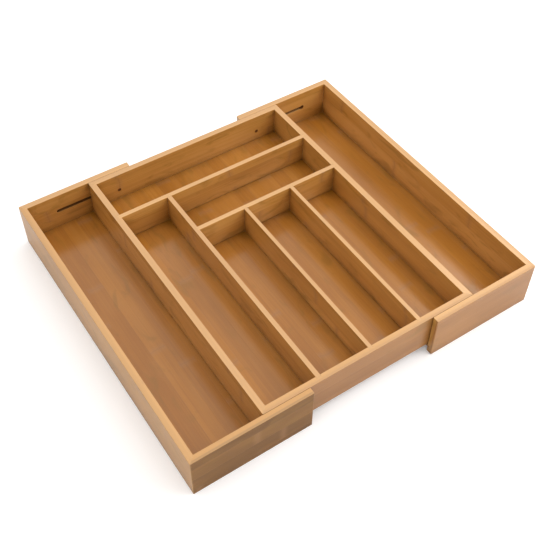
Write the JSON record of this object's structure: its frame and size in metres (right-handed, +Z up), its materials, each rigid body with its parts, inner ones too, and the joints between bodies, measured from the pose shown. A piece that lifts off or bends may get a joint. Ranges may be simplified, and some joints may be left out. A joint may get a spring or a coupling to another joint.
{
  "type": "expandable drawer organizer insert",
  "caption": "Flat bamboo drawer organizer: a divided middle box between two side trays that slide outwards on guide pins to fill the width of a drawer.",
  "frame": {"origin": "centre of the footprint on the drawer floor, with both trays pulled fully out", "axes": "+X to the right along the way the trays slide, +Y towards the back of the drawer, +Z up"},
  "size_m": [0.477, 0.43, 0.0635],
  "materials": {
    "bamboo_wall": "satin clear-lacquered bamboo boards",
    "bamboo_divider": "satin clear-lacquered bamboo boards",
    "bamboo_floor": "satin clear-lacquered bamboo strip panel",
    "pin_steel": "dull dark steel"
  },
  "bodies": {
    "main_box": {"main_front_wall": "bamboo_wall", "main_back_wall": "bamboo_wall", "main_left_wall": "bamboo_wall", "main_right_wall": "bamboo_wall", "main_bottom_panel": "bamboo_floor", "rear_cross_divider": "bamboo_divider", "middle_cross_divider": "bamboo_divider", "left_long_divider": "bamboo_divider", "center_left_divider": "bamboo_divider", "center_right_divider": "bamboo_divider", "left_front_guide_pin": "pin_steel", "left_back_guide_pin": "pin_steel", "right_front_guide_pin": "pin_steel", "right_back_guide_pin": "pin_steel"},
    "left_tray": {"left_tray_side_wall": "bamboo_wall", "left_tray_front_wall": "bamboo_wall", "left_tray_back_wall": "bamboo_wall", "left_tray_bottom_panel": "bamboo_floor"},
    "right_tray": {"right_tray_side_wall": "bamboo_wall", "right_tray_front_wall": "bamboo_wall", "right_tray_back_wall": "bamboo_wall", "right_tray_bottom_panel": "bamboo_floor"}
  },
  "joints": [
    {"name": "left_tray_slide", "type": "slide", "parent": "main_box", "child": "left_tray", "axis": [-1, 0, 0], "range_m": [-0.084, 0]},
    {"name": "right_tray_slide", "type": "slide", "parent": "main_box", "child": "right_tray", "axis": [1, 0, 0], "range_m": [-0.084, 0]}
  ]
}
